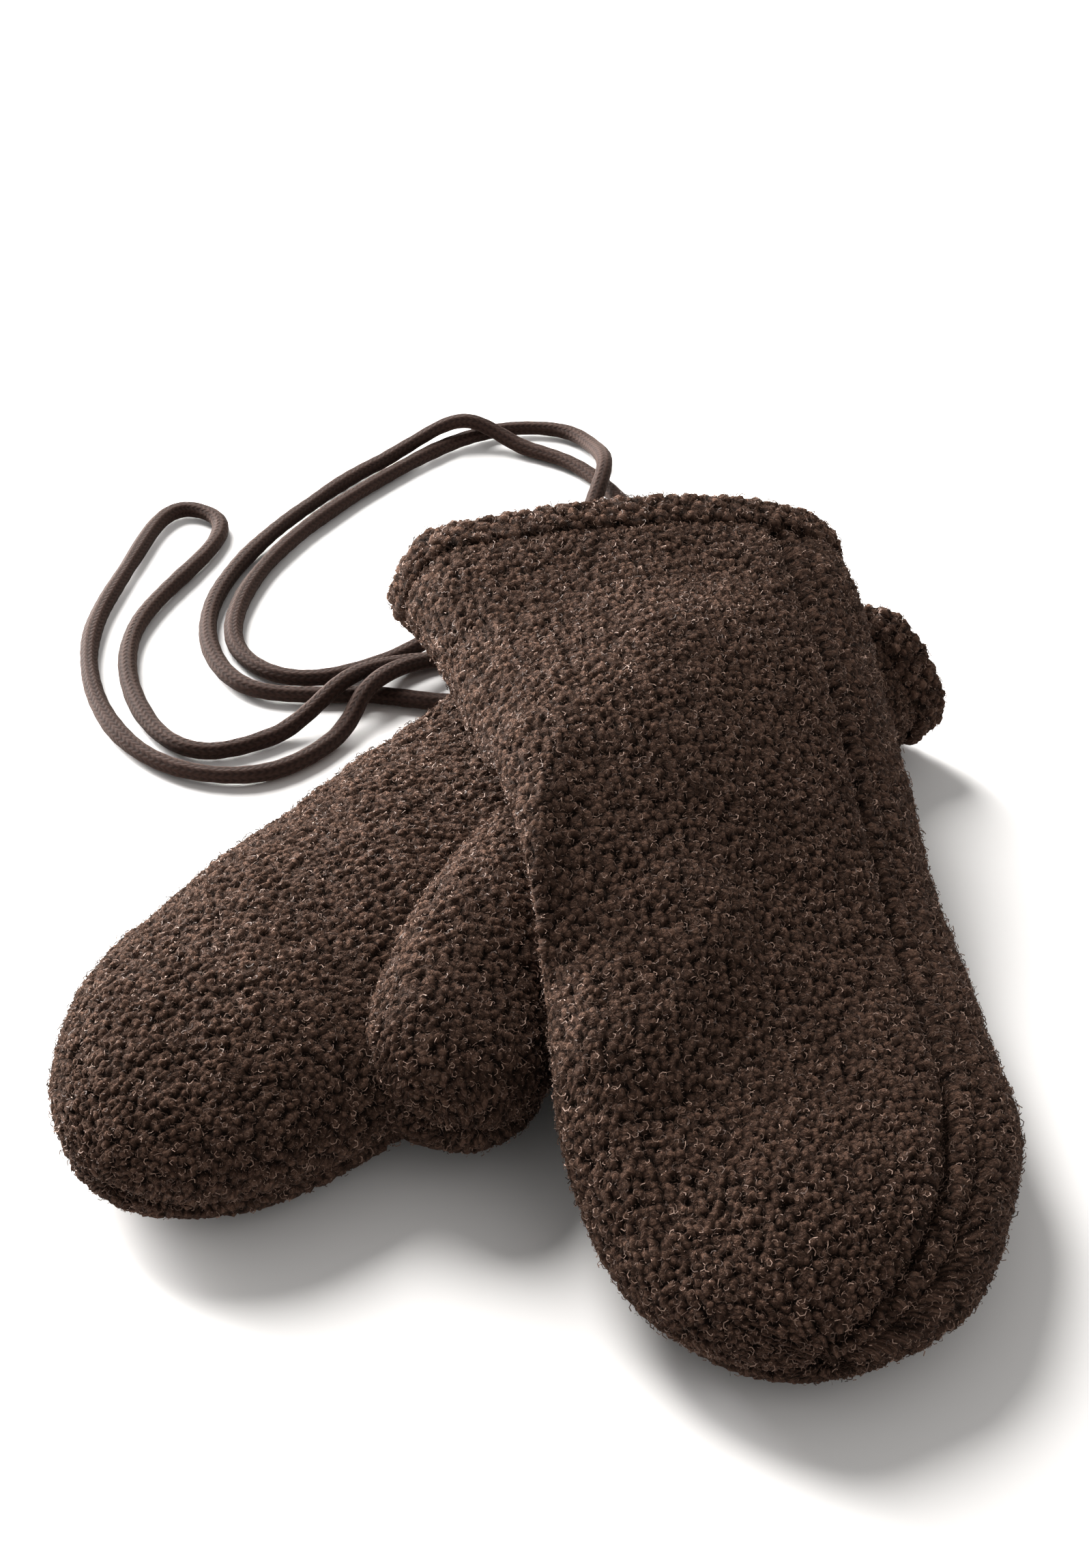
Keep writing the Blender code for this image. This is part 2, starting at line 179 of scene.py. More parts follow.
class Finish(Nodes):
    """A material."""

    def __init__(self, name):
        self.material = bpy.data.materials.new(name)
        self.material.use_nodes = True
        super().__init__(self.material.node_tree)
        self.shader = self.tree.nodes["Principled BSDF"]

    def kept(self, name):
        return self.add("Attribute", {"attribute_name": name})

    def object_place(self):
        return self.add("TexCoord").outputs["Object"]

    def shade(self, by, stops):
        ramp = self.add("ValToRGB", n0=by)
        while len(ramp.color_ramp.elements) < len(stops):
            ramp.color_ramp.elements.new(0.5)
        for element, (at, colour) in zip(ramp.color_ramp.elements, stops):
            element.position = at
            element.color = (*colour, 1.0)
        return ramp.outputs[0]

    def dim(self, colour, by):
        """Multiplies a colour by a number."""
        scaled = self.add("VectorMath", {"operation": "SCALE"})
        self.put(scaled.inputs[0], colour)
        self.put(scaled.inputs["Scale"], by)
        return scaled.outputs[0]

    def noise(self, where, scale, detail=2.0, roughness=0.5, distortion=0.0):
        made = self.add("TexNoise", Vector=where, Scale=scale, Detail=detail, Roughness=roughness)
        made.inputs["Distortion"].default_value = distortion
        return made.outputs["Fac"]

    def surface(self, colour, roughness, specular, sheen=None):
        """The surface's colour and gloss. sheen is its weight, roughness and tint."""
        self.put(self.shader.inputs["Base Color"], colour)
        self.shader.inputs["Roughness"].default_value = roughness
        self.shader.inputs["Specular IOR Level"].default_value = specular
        for label, value in zip(("Sheen Weight", "Sheen Roughness", "Sheen Tint"), sheen or ()):
            self.shader.inputs[label].default_value = value

    def relief(self, height, distance, strength=1.0):
        bump = self.add("Bump", Height=height, Distance=distance, Strength=strength)
        self.put(self.shader.inputs["Normal"], bump.outputs[0])


def cord_material():
    """Brown knitted yarn: a column of small slanted stitches on each wale, with painted shade
    darkening the dips between them.
    """
    made = Finish("knitted_cord")
    run = made.kept("run").outputs["Fac"]
    wale = made.kept("wale").outputs["Fac"]
    side = made.math("ABSOLUTE", made.math("SUBTRACT", made.math("FRACT", wale), 0.5))
    slant = made.math("MULTIPLY", side, STITCH_SLANT)
    slant = made.math("ADD", made.math("DIVIDE", run, STITCH_LENGTH), slant)
    stitch = made.math("ABSOLUTE", made.math("SUBTRACT", made.math("FRACT", slant), 0.5))
    where = made.object_place()
    fuzz = made.noise(where, 2600.0, 3.0, 0.6)
    cloud = made.noise(where, 55.0, 3.0)
    high = made.math("SUBTRACT", 1.0, made.math("ADD", made.math("MULTIPLY", stitch, 0.8), side))
    high = made.math("ADD", high, made.math("MULTIPLY", fuzz, 0.5))
    # The ramp paints shade: darkest in the dips between wales and stitches, lightest on their tops.
    colour = made.shade(high, [
        (0.25, (0.0058, 0.0028, 0.0020)),
        (0.62, (0.0165, 0.0082, 0.0060)),
        (1.00, (0.0320, 0.0170, 0.0128)),
    ])
    colour = made.dim(colour, made.math("ADD", 0.72, made.math("MULTIPLY", cloud, 0.56)))
    made.surface(colour, 0.88, 0.12, (0.06, 0.45, (0.75, 0.55, 0.45, 1.0)))
    made.relief(high, 0.00022, 0.8)
    return made.material


centres = smooth(np.array(CORD_ROUTE), np.linspace(0, 1, CORD_ROWS))
centres[:, 2] = np.maximum(centres[:, 2], CORD_LOWEST)
centres = centres / 1000 + np.array(CORD_SHIFT)
ahead = unit(np.gradient(centres, axis=0))
side = unit(np.cross(ahead, (0.0, 0.0, 1.0)))
for k in range(1, CORD_ROWS):
    if side[k] @ side[k - 1] < 0:
        side[k] *= -1
up = unit(np.cross(side, ahead))
run = np.concatenate([[0], np.cumsum(np.linalg.norm(np.diff(centres, axis=0), axis=1))])
turn = np.linspace(0, 2 * math.pi, CORD_SIDES, endpoint=False)
wale = turn * WALES / (2 * math.pi)
slant = np.abs(wale % 1 - 0.5)
knit = np.cos(2 * math.pi * (run[:, None] / STITCH_LENGTH + slant * STITCH_SLANT))
reach = -2 * WALE_DEPTH * slant[None, :] + STITCH_RELIEF * knit
loose = 1 + 0.035 * np.sin(run * 130) + 0.02 * np.sin(run * 310 + 1)
wide = (CORD_DIAMETER / 2 + CORD_WIDER) * loose[:, None] + reach
flat = (CORD_DIAMETER / 2 - CORD_FLATTER) * loose[:, None] + reach
shell = (
    centres[:, None]
    + (np.cos(turn) * wide)[..., None] * side[:, None]
    + (np.sin(turn) * flat)[..., None] * up[:, None]
)
shell[..., 2] = np.maximum(shell[..., 2], 0.0001)
rows, columns = np.meshgrid(np.arange(CORD_ROWS - 1), np.arange(CORD_SIDES), indexing="ij")
corner = rows * CORD_SIDES + columns
beside = rows * CORD_SIDES + (columns + 1) % CORD_SIDES
quads = np.stack([corner, beside, beside + CORD_SIDES, corner + CORD_SIDES], -1).reshape(-1, 4)
ends = []
for first, last_row in ((CORD_ROWS * CORD_SIDES, 0), (CORD_ROWS * CORD_SIDES + 1, CORD_ROWS - 1)):
    around = last_row * CORD_SIDES + np.arange(CORD_SIDES)
    after = np.roll(around, -1)
    pair = (after, around) if last_row == 0 else (around, after)
    ends.append(np.stack([*pair, np.full(CORD_SIDES, first)], -1))
triangles = np.concatenate([quads[:, [0, 1, 2]], quads[:, [0, 2, 3]], *ends])
points = np.concatenate([shell.reshape(-1, 3), centres[[0, -1]]])
cord = mesh_piece(
    "cord_knitted", points, triangles, [cord_material()],
    numbers={
        "run": np.concatenate([np.repeat(run, CORD_SIDES), run[[0, -1]]]),
        "wale": np.concatenate([np.tile(wale, CORD_ROWS), [0, 0]]),
    },
)
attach(cord, "root")
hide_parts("cord")

# Lower mitten, hand part: a palm and a back cut from boucle pile cloth, sewn together right round
# the tip. The pile is small round curls on a knitted backing, and it closes over the seams.
SECTIONS = np.array([
    # share of length, half width, thickness, height of the widest line as a share of thickness
    [0.00, 0.0455, 0.0282, 0.50],
    [0.05, 0.0455, 0.0276, 0.50],
    [0.20, 0.0432, 0.0276, 0.47],
    [0.50, 0.0395, 0.0300, 0.46],
    [0.78, 0.0388, 0.0305, 0.44],
    [1.00, 0.0370, 0.0290, 0.42],
])
HEM_WIDTH = 0.0115
TIP_LENGTH = 0.052
WALL = 0.0045
SEAM_GAP = 0.0003
SIDE_ROUND = 2.18
TIP_ROUND = 2.12
MIDDLE = np.array([-0.0007, -0.0548, 0.0])
LOWER = {
    "cuff": (0.0535, 0.0370),
    "length": 0.2120,
    "heading": 232.5,
    "spread": 0.92,
    "bow": -0.0042,
    "seams": (-8, 190),
}
UPPER = {
    "cuff": (0.0138, 0.0235),
    "length": 0.1970,
    "heading": 279.1,
    "spread": 1.03,
    "bow": 0.0063,
    "seams": (40, 203),
}
REST_HEIGHT = 0.0292
RAMP_START = 0.014
RAMP = 0.080
FAR_DROP = 0.18
LOWER_FOLDS = [
    # share of length, angle in degrees, height, reach along, reach in angle
    [0.42, 120, -0.0016, 0.020, 40],
    [0.66, 60, 0.0012, 0.022, 40],
    [0.80, 130, -0.0010, 0.016, 35],
    [0.00, 44, 0.0085, 0.024, 23],
]
LOWER_THUMB = np.array([
    # x, y, z, half width, half thickness, roll in degrees
    [-0.0005, -0.0420, 0.0180, 0.0105, 0.0095, 18],
    [-0.0052, -0.0610, 0.0210, 0.0132, 0.0118, 22],
    [-0.0100, -0.0805, 0.0214, 0.0162, 0.0135, 24],
    [-0.0146, -0.1010, 0.0194, 0.0180, 0.0142, 22],
    [-0.0165, -0.1240, 0.0164, 0.0178, 0.0138, 14],
])
UPPER_THUMB = np.array([
    # x, y, z, half width, half thickness, roll in degrees
    [0.0330, -0.0680, 0.0300, 0.0120, 0.0095, 0],
    [0.0280, -0.0800, 0.0230, 0.0125, 0.0090, 0],
    [0.0228, -0.0920, 0.0135, 0.0128, 0.0078, 0],
    [0.0182, -0.1035, 0.0088, 0.0122, 0.0072, 0],
    [0.0136, -0.1150, 0.0082, 0.0114, 0.0070, 0],
])
THUMB_WALL = 0.0038
THUMB_TIP = 0.020
THUMB_ROUND = 2.2
THUMB_ROOT = 0.002  # how far the cloth runs on past the first row of its table
THUMB_LOWEST = 0.0003
PILE = 0.00145
CURL_SPACING = 0.00140
CURL_REACH = 0.70
CURL_WANDER = 0.0011
SEAM_DIP, SEAM_REACH = 0.0014, 0.0022  # depth of the soft valley along a seam, and its half width
CUFF_DIP, CUFF_REACH = 0.0004, 0.0012
CALM_REACH = 0.012  # the cloth's waves fade out over this distance from its edges
WIDE_WAVE, SMALL_WAVE = 0.00055, 0.00022
GROOVE, GROOVE_REACH = 0.0032, 0.0019  # depth of the groove beside the seam, and its half width
GROOVE_FROM_SEAM = 0.0055
CLOTH_LOWEST = 0.00005
FLOOR_CLEAR = 0.0022  # no fibres grow below this height
TUCK = 0.0008  # how far the hand's cloth runs on under the turned cuff
BLOCK = 8  # cells of the outer grid to one of the inner grid, each way


def ease(x):
    x = np.clip(x, 0, 1)
    return x * x * (3 - 2 * x)


def column(table, at, k):
    """One column of a table at any share, on a smooth curve through its rows."""
    x = table[:, 0]
    y = table[:, k]
    slope = np.gradient(y, x)
    at = np.clip(at, x[0], x[-1])
    i = np.clip(np.searchsorted(x, at, side="right") - 1, 0, len(x) - 2)
    h = x[i + 1] - x[i]
    t = (at - x[i]) / h
    first = (2 * t**3 - 3 * t**2 + 1) * y[i] + (t**3 - 2 * t**2 + t) * h * slope[i]
    return first + (-2 * t**3 + 3 * t**2) * y[i + 1] + (t**3 - t**2) * h * slope[i + 1]


def frame_of(place):
    angle = math.radians(place["heading"])
    forward = np.array([math.cos(angle), math.sin(angle)])
    return forward, np.array([-forward[1], forward[0]])


def bow_at(place, along):
    share = along / place["length"]
    return place["bow"] * 4 * share * (1 - share)


def rise(x, y):
    """Height of what the upper mitten lies on: the lower one, without and with the thumbs."""
    forward, sideways = frame_of(LOWER)
    dx = x - LOWER["cuff"][0]
    dy = y - LOWER["cuff"][1]
    along = np.clip(dx * forward[0] + dy * forward[1], 0, LOWER["length"])
    across = dx * sideways[0] + dy * sideways[1] - bow_at(LOWER, along)
    up = REST_HEIGHT * ease((RAMP_START + RAMP - across) / RAMP)
    up = up * (1 - FAR_DROP * ease((-across - 0.022) / 0.042))
    ramp = up
    for a, b, wide, high in (
        (LOWER_THUMB[1], LOWER_THUMB[3], 0.0150, 0.0335),
        (UPPER_THUMB[2], UPPER_THUMB[4], 0.0130, 0.0170),
    ):
        span = (b - a)[:2]
        t = np.clip(((x - a[0]) * span[0] + (y - a[1]) * span[1]) / (span @ span), 0, 1)
        off = np.hypot(x - a[0] - t * span[0], y - a[1] - t * span[1])
        mound = high * (1 - ease((off - 0.45 * wide) / (1.25 * wide)))
        up = 0.5 * (up + mound + np.sqrt((up - mound) ** 2 + (0.003 * mound / high) ** 2))
    return ramp, up


def body(place, along, angle, inset, folds, raised):
    """Points of the surface, moved in by inset: angle 0 is at the left of the cuff, 90 on top."""
    length = place["length"] - max(inset, 0.0)
    tip = TIP_LENGTH - 0.5 * max(inset, 0.0)
    along = np.asarray(along, float)[:, None] * (length / place["length"])
    angle = np.asarray(angle, float)
    share = along / length
    half = column(SECTIONS, share, 1) * place["spread"] - inset
    thick = column(SECTIONS, share, 2)
    waist = column(SECTIONS, share, 3) * thick
    q = np.clip((along - (length - tip)) / tip, 0, 1)
    cap = (1 - q**TIP_ROUND) ** (1 / TIP_ROUND)
    flat_cap = (1 - q**2.5) ** (1 / 2.5)
    c = np.cos(angle)
    s = np.sin(angle)
    swell = 0.0
    for at, toward, high, reach, spread in folds:
        turned = np.angle(np.exp(1j * (angle - math.radians(toward)))) / math.radians(spread)
        lengthwise = np.exp(-(((along - at * length) / reach) ** 2))
        swell = swell + high * lengthwise * np.exp(-(turned**2))
    across = half * cap * np.sign(c) * np.abs(c) ** (2 / SIDE_ROUND)
    over = (thick - waist - inset + swell) * flat_cap * np.abs(s) ** (2 / SIDE_ROUND)
    under = (waist - inset + 0.0012) * flat_cap * np.abs(s) ** (2 / 2.6)
    height = np.maximum(waist + np.where(s > 0, over, -under), max(inset, 0.0))
    forward, sideways = frame_of(place)
    offset = across + bow_at(place, along)
    x = place["cuff"][0] + along * forward[0] + offset * sideways[0]
    y = place["cuff"][1] + along * forward[1] + offset * sideways[1]
    if raised:
        ramp, ground = rise(x, y)
        height = height + ramp + (ground - ramp) * (1 - 0.65 * ease((s + 0.3) / 1.1))
    return np.stack([x, y, height + np.zeros_like(x)], -1)


def even_angles(place, start, stop, count, folds, raised):
    """Angles from one seam to the other, evenly spaced over the cloth at half the length."""
    dense = np.linspace(start, stop, 720)
    ring = body(place, [0.5 * place["length"]], dense, 0.0, folds, raised)[0]
    walked = np.concatenate([[0], np.cumsum(np.linalg.norm(np.diff(ring, axis=0), axis=1))])
    return np.interp(np.linspace(0, walked[-1], count), walked, dense)


def even_stations(place, start, count):
    """Distances from the cuff, closer together where the tip turns over."""
    dense = np.linspace(start, place["length"], 900)
    top = body(place, dense, [math.pi / 2], 0.0, [], False)[:, 0]
    edge = body(place, dense, [0.0], 0.0, [], False)[:, 0]
    step_on_top = np.linalg.norm(np.diff(top, axis=0), axis=1)
    step = step_on_top + 0.6 * np.linalg.norm(np.diff(edge, axis=0), axis=1)
    walked = np.concatenate([[0], np.cumsum(step)])
    return np.interp(np.linspace(0, walked[-1], count), walked, dense)


def outward(grid, centre, ring=False):
    """Unit normals of a grid of points, away from its own middle line."""
    down = np.gradient(grid, axis=0)
    if ring:
        wrapped = np.concatenate([grid[:, -1:], grid, grid[:, :1]], axis=1)
        along = np.gradient(wrapped, axis=1)[:, 1:-1]
    else:
        along = np.gradient(grid, axis=1)
    normal = np.cross(down, along)
    weak = np.linalg.norm(normal, axis=-1, keepdims=True) < 1e-14
    normal = np.where(weak, grid - centre, normal)
    normal = unit(normal)
    if (normal * (grid - centre)).sum() < 0:
        normal = -normal
    return normal


def lengths(grid, axis):
    """Distance over the cloth along each row or column of a grid, from its first point."""
    steps = np.linalg.norm(np.diff(grid, axis=axis), axis=2)
    return np.concatenate([np.zeros_like(steps.take([0], axis)), np.cumsum(steps, axis)], axis)


def flat_places(grid):
    """Where points lie on the flat cloth, in metres: across from its middle line, and along."""
    across = lengths(grid, 1)
    middle = grid.shape[1] // 2
    from_middle = across - across[:, middle : middle + 1]
    return np.stack([from_middle, lengths(grid, 0), 0 * across], -1).reshape(-1, 3)


def waves(points):
    """Low soft waves of the cloth, in metres, so that no large area lies flat."""
    x, y, z = points[..., 0], points[..., 1], points[..., 2]
    wide = np.sin(150 * x + 95 * y + 1.0) * np.sin(62 * y - 80 * x + 0.6)
    small = np.sin(420 * x - 250 * y + 190 * z) * np.sin(330 * y + 240 * x + 2.0)
    return WIDE_WAVE * wide + SMALL_WAVE * small


def covered(points, normals, name):
    """How densely fibres stand: sparsely below, and not on the floor or between the mittens."""
    share = np.clip(1.15 + 1.35 * normals[:, 2], 0.05, 1.0) * (points[:, 2] > FLOOR_CLEAR)
    if name.startswith("lower"):
        forward, sideways = frame_of(UPPER)
        dx = points[:, 0] + MIDDLE[0] - UPPER["cuff"][0]
        dy = points[:, 1] + MIDDLE[1] - UPPER["cuff"][1]
        along = dx * forward[0] + dy * forward[1]
        across = dx * sideways[0] + dy * sideways[1] - bow_at(UPPER, along)
        share = share * ~((along > 0.006) & (along < 0.15) & (np.abs(across) < 0.032))
    return share


def cut_size(grid, keep):
    """Width, length and area of the flat piece that the kept cells of a grid were cut as."""
    kept = keep.repeat(BLOCK, 0).repeat(BLOCK, 1)
    a, b, c, d = grid[:-1, :-1], grid[:-1, 1:], grid[1:, 1:], grid[1:, :-1]
    area = (0.5 * np.linalg.norm(np.cross(c - a, d - b), axis=2) * kept).sum()
    width = (np.linalg.norm(b - a, axis=2) * kept).sum(axis=1).max()
    length = (np.linalg.norm(d - a, axis=2) * kept).sum(axis=0).max()
    return float(width), float(length), float(area)


def sewn_in(piece, node, seed):
    """Puts a piece of cloth in place of its node, with its fibres."""
    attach(piece, "root")
    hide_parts(node)
    dress(piece, seed)


def edge_strips(keep, fine, coarse):
    """Triangles round a panel's open edges, from the fine outer grid to the coarse inner one."""
    cells = np.argwhere(keep)
    framed = np.pad(keep, 1)
    steps = np.arange(BLOCK + 1)
    half = BLOCK // 2
    strips = []
    for (di, dj), (i0, j0), (i1, j1) in (
        # the side that has no neighbour, and the two corners of the cell on that side
        ((-1, 0), (0, 0), (0, 1)),
        ((0, 1), (0, 1), (1, 1)),
        ((1, 0), (1, 1), (1, 0)),
        ((0, -1), (1, 0), (0, 0)),
    ):
        open_side = cells[~framed[cells[:, 0] + 1 + di, cells[:, 1] + 1 + dj]]
        i, j = open_side[:, :1], open_side[:, 1:]
        f = fine[(i + i0) * BLOCK + (i1 - i0) * steps, (j + j0) * BLOCK + (j1 - j0) * steps]
        a = coarse[i + i0, j + j0][:, 0]
        b = coarse[i + i1, j + j1][:, 0]
        for k in range(BLOCK):
            strips.append(np.stack([f[:, k + 1], f[:, k], a if k < half else b], -1))
        strips.append(np.stack([f[:, half], a, b], -1))
    return strips


def panel(name, outer, inner, keep, groove=None):
    """A sewn panel of cloth: the pile outside on a fine grid, the backing inside on a coarse one.

    groove is the distance of a sewn groove from the panel's first side."""
    near_inner = inner.repeat(BLOCK, 0).repeat(BLOCK, 1)[: outer.shape[0], : outer.shape[1]]
    normals = outward(outer, near_inner)
    across = lengths(outer, 1)
    down = lengths(outer, 0)
    sides = np.minimum(across, across[:, -1:] - across)
    seam = SEAM_DIP * np.exp(-((sides / SEAM_REACH) ** 2))
    dip = seam + CUFF_DIP * np.exp(-((down / CUFF_REACH) ** 2))
    calm = ease(np.minimum(sides, down) / CALM_REACH)
    moved = (outer + normals * (calm * waves(outer) - dip - PILE)[..., None]).reshape(-1, 3)
    cover = covered(moved, normals.reshape(-1, 3), name)
    # Near the seams the curls lie lower, and the pile's colour is painted darker there: painted
    # shade in the seam's valley.
    curl_height_and_painted_shading = ease(0.3 + sides / 0.0012)
    if groove is not None:
        line = np.exp(-(((across - groove) / GROOVE_REACH) ** 2))
        moved = moved - (normals * (GROOVE * line)[..., None]).reshape(-1, 3)
        # In the groove the curls lie lower and are painted darker: painted shade.
        curl_height_and_painted_shading = curl_height_and_painted_shading * (1 - 0.65 * line)
    curl_height_and_painted_shading = curl_height_and_painted_shading.ravel()
    moved[:, 2] = np.maximum(moved[:, 2], CLOTH_LOWEST)
    fine = np.arange(len(moved)).reshape(outer.shape[:2])
    coarse = len(moved) + np.arange(inner.shape[0] * inner.shape[1]).reshape(inner.shape[:2])
    fine[-1, :] = fine[-1, 0]
    coarse[-1, :] = coarse[-1, 0]
    i, j = np.argwhere(keep.repeat(BLOCK, 0).repeat(BLOCK, 1)).T
    quads = np.stack([fine[i, j], fine[i, j + 1], fine[i + 1, j + 1], fine[i + 1, j]], -1)
    strips = edge_strips(keep, fine, coarse)
    triangles = np.concatenate([quads[:, [0, 1, 2]], quads[:, [0, 2, 3]], *strips])
    outside = len(triangles)
    i, j = np.argwhere(keep).T
    back = np.stack([coarse[i, j], coarse[i + 1, j], coarse[i + 1, j + 1], coarse[i, j + 1]], -1)
    triangles = np.concatenate([triangles, back[:, [0, 1, 2]], back[:, [0, 2, 3]]])
    kinds = (np.arange(len(triangles)) >= outside).astype(int)
    real = (
        (triangles[:, 0] != triangles[:, 1])
        & (triangles[:, 1] != triangles[:, 2])
        & (triangles[:, 0] != triangles[:, 2])
    )
    triangles, kinds = triangles[real], kinds[real]
    points = np.concatenate([moved, inner.reshape(-1, 3)])
    pad = np.zeros(len(points) - len(moved))
    used, place = np.unique(triangles, return_inverse=True)
    cloth = np.concatenate([flat_places(outer), np.zeros((len(pad), 3))])
    made = mesh_piece(
        name, points[used], place.reshape(-1, 3), [pile_finish, backing], kinds,
        numbers={
            "cover": np.concatenate([cover, pad])[used], "pile": np.concatenate([curl_height_and_painted_shading, pad])[used]
        },
        vectors={"cloth": cloth[used]},
    )
    return raised_pile(made), cut_size(outer, keep)


def curl_nodes(made, place):
    """The small round curls of the pile.

    It gives a point's height on its curl, the curl's own numbers and the point's place on it."""
    wander = made.add("TexNoise", Vector=place, Scale=800.0, Detail=1.0).outputs["Color"]
    moved = made.add("VectorMath", {"operation": "MULTIPLY_ADD"}, n0=wander, n2=place)
    moved.inputs[1].default_value = (CURL_WANDER,) * 3
    cell = made.add("TexVoronoi", {"voronoi_dimensions": "2D"}, Vector=moved.outputs[0])
    cell.inputs["Scale"].default_value = 1 / CURL_SPACING
    cell.inputs["Randomness"].default_value = 0.85
    share = made.math("DIVIDE", cell.outputs["Distance"], CURL_REACH)
    dome = made.math("SUBTRACT", 1.0, made.math("MULTIPLY", share, share))
    dome = made.math("POWER", made.math("MAXIMUM", dome, 0.0), 0.6)
    own = made.add("SeparateXYZ", Vector=cell.outputs["Color"])
    tall = made.math("ADD", 0.70, made.math("MULTIPLY", own.outputs[0], 0.34))
    high = made.math("MULTIPLY", dome, tall)
    aside = made.add("VectorMath", {"operation": "SUBTRACT"}, n0=moved.outputs[0])
    made.put(aside.inputs[1], cell.outputs["Position"])
    return high, own, aside.outputs[0], share


def new_tree(name, kinds):
    """An empty Geometry Nodes tree that has these inputs and gives one geometry."""
    tree = bpy.data.node_groups.new(name, "GeometryNodeTree")
    for label, kind in kinds.items():
        tree.interface.new_socket(label, in_out="INPUT", socket_type="NodeSocket" + kind)
    tree.interface.new_socket("Made", in_out="OUTPUT", socket_type="NodeSocketGeometry")
    return tree


def pile_tree():
    """Raises the curls out of the cloth's outer face, by the same cells that colour them."""
    tree = new_tree("raised_curls", {"Cloth": "Geometry", "Pile height": "Float"})
    made = Nodes(tree)
    given = tree.nodes.new("NodeGroupInput").outputs
    high = curl_nodes(made, made.stored("cloth", "FLOAT_VECTOR"))[0]
    lift = made.math("MULTIPLY", high, made.stored("pile"))
    lift = made.math("MULTIPLY", lift, given["Pile height"])
    normal = made.add("GeometryNodeInputNormal").outputs[0]
    out = made.add("VectorMath", {"operation": "SCALE"}, n0=normal, Scale=lift)
    moved = made.add("GeometryNodeSetPosition", Geometry=given["Cloth"], Offset=out.outputs[0])
    made.put(tree.nodes.new("NodeGroupOutput").inputs[0], moved.outputs[0])
    return tree


def with_nodes(holder, tree, values):
    """The mesh that a piece gives with these nodes and these input values on it."""
    grown = holder.modifiers.new(tree.name, "NODES")
    grown.node_group = tree
    items = tree.interface.items_tree
    sockets = {item.name: item.identifier for item in items if item.in_out == "INPUT"}
    for label, value in values.items():
        grown[sockets[label]] = value
    graph = bpy.context.evaluated_depsgraph_get()
    mesh = bpy.data.meshes.new_from_object(holder.evaluated_get(graph))
    holder.modifiers.remove(grown)
    return mesh


def raised_pile(piece):
    """The piece with its curls raised, kept off the floor."""
    mesh = with_nodes(piece, raised_curls, {"Pile height": PILE})
    points = np.empty(3 * len(mesh.vertices), np.float32)
    mesh.vertices.foreach_get("co", points)
    points[2::3] = np.maximum(points[2::3], CLOTH_LOWEST)
    mesh.vertices.foreach_set("co", points)
    piece.data = mesh
    mesh.name = piece.name
    return piece


def pile_material():
    """Dark brown boucle with yarn wound round each curl, painted darker between the curls and
    lighter on top: painted shade in the gaps, painted light on the tops.
    """
    made = Finish("boucle_pile")
    high, own, aside, share = curl_nodes(made, made.kept("cloth").outputs["Vector"])
    parts = made.add("SeparateXYZ", Vector=aside)
    round_it = made.math("ARCTAN2", parts.outputs[1], parts.outputs[0])
    where = made.object_place()
    wander = made.noise(where, 900.0, 2.0)
    outward_turn = made.math("MULTIPLY", share, 9.0)
    wound = made.math("ADD", made.math("MULTIPLY", round_it, 2.0), outward_turn)
    wound = made.math("ADD", wound, made.math("MULTIPLY", wander, 9.0))
    wound = made.math("ADD", wound, made.math("MULTIPLY", own.outputs[2], 6.3))
    wound = made.math("ADD", 0.5, made.math("MULTIPLY", made.math("SINE", wound), 0.5))
    fibre = made.noise(where, 3200.0, 4.0, 0.65, 1.5)
    cloud = made.noise(where, 60.0, 3.0)
    fibre = made.math("MULTIPLY", fibre, 0.9)
    relief = made.math("ADD", made.math("MULTIPLY", wound, 0.45), fibre)
    level = made.math("MULTIPLY", made.math("SUBTRACT", relief, 0.68), 0.40)
    level = made.math("ADD", high, level)
    # The ramp paints shade and light: near black in the gaps between curls and on low strands,
    # lighter on the curls' tops and on raised strands.
    colour = made.shade(level, [
        (0.10, (0.0042, 0.0021, 0.0014)),
        (0.42, (0.0160, 0.0084, 0.0057)),
        (0.72, (0.0430, 0.0232, 0.0160)),
        (1.00, (0.1100, 0.0630, 0.0445)),
    ])
    # Random tone of the cloth and of each curl, times the pile's fullness, which is painted light:
    # full pile is painted lighter and flat pile darker.
    tone_and_painted_light = made.math("ADD", 0.68, made.math("MULTIPLY", cloud, 0.42))
    tone_and_painted_light = made.math("ADD", tone_and_painted_light, made.math("MULTIPLY", own.outputs[1], 0.20))
    full = made.math("ADD", 0.5, made.math("MULTIPLY", made.kept("pile").outputs["Fac"], 0.55))
    tone_and_painted_light = made.math("MULTIPLY", tone_and_painted_light, full)
    made.surface(made.dim(colour, tone_and_painted_light), 0.9, 0.06, (0.06, 0.5, (0.78, 0.52, 0.40, 1.0)))
    made.relief(made.math("ADD", relief, made.math("MULTIPLY", high, 0.8)), 0.00045, 1.0)
    return made.material


def backing_material():
    """The plain knitted back of the pile cloth, which shows only inside: fine slanting ribs, with
    painted shade in the grooves between them.
    """
    made = Finish("knitted_backing")
    where = made.object_place()
    direction = {"bands_direction": "DIAGONAL"}
    ribs = made.add("TexWave", direction, Vector=where, Scale=210.0, Distortion=1.5)
    ribs = made.math("MULTIPLY", ribs.outputs["Fac"], 0.6)
    fuzz = made.math("MULTIPLY", made.noise(where, 1800.0, 3.0, 0.6), 0.4)
    high = made.math("ADD", ribs, fuzz)
    # The ramp paints shade: darker in the grooves between the ribs, lighter on their tops.
    colour = made.shade(high, [(0.2, (0.010, 0.0056, 0.0040)), (0.8, (0.028, 0.0160, 0.0118))])
    made.surface(colour, 0.95, 0.05)
    made.relief(high, 0.0003, 0.7)
    return made.material


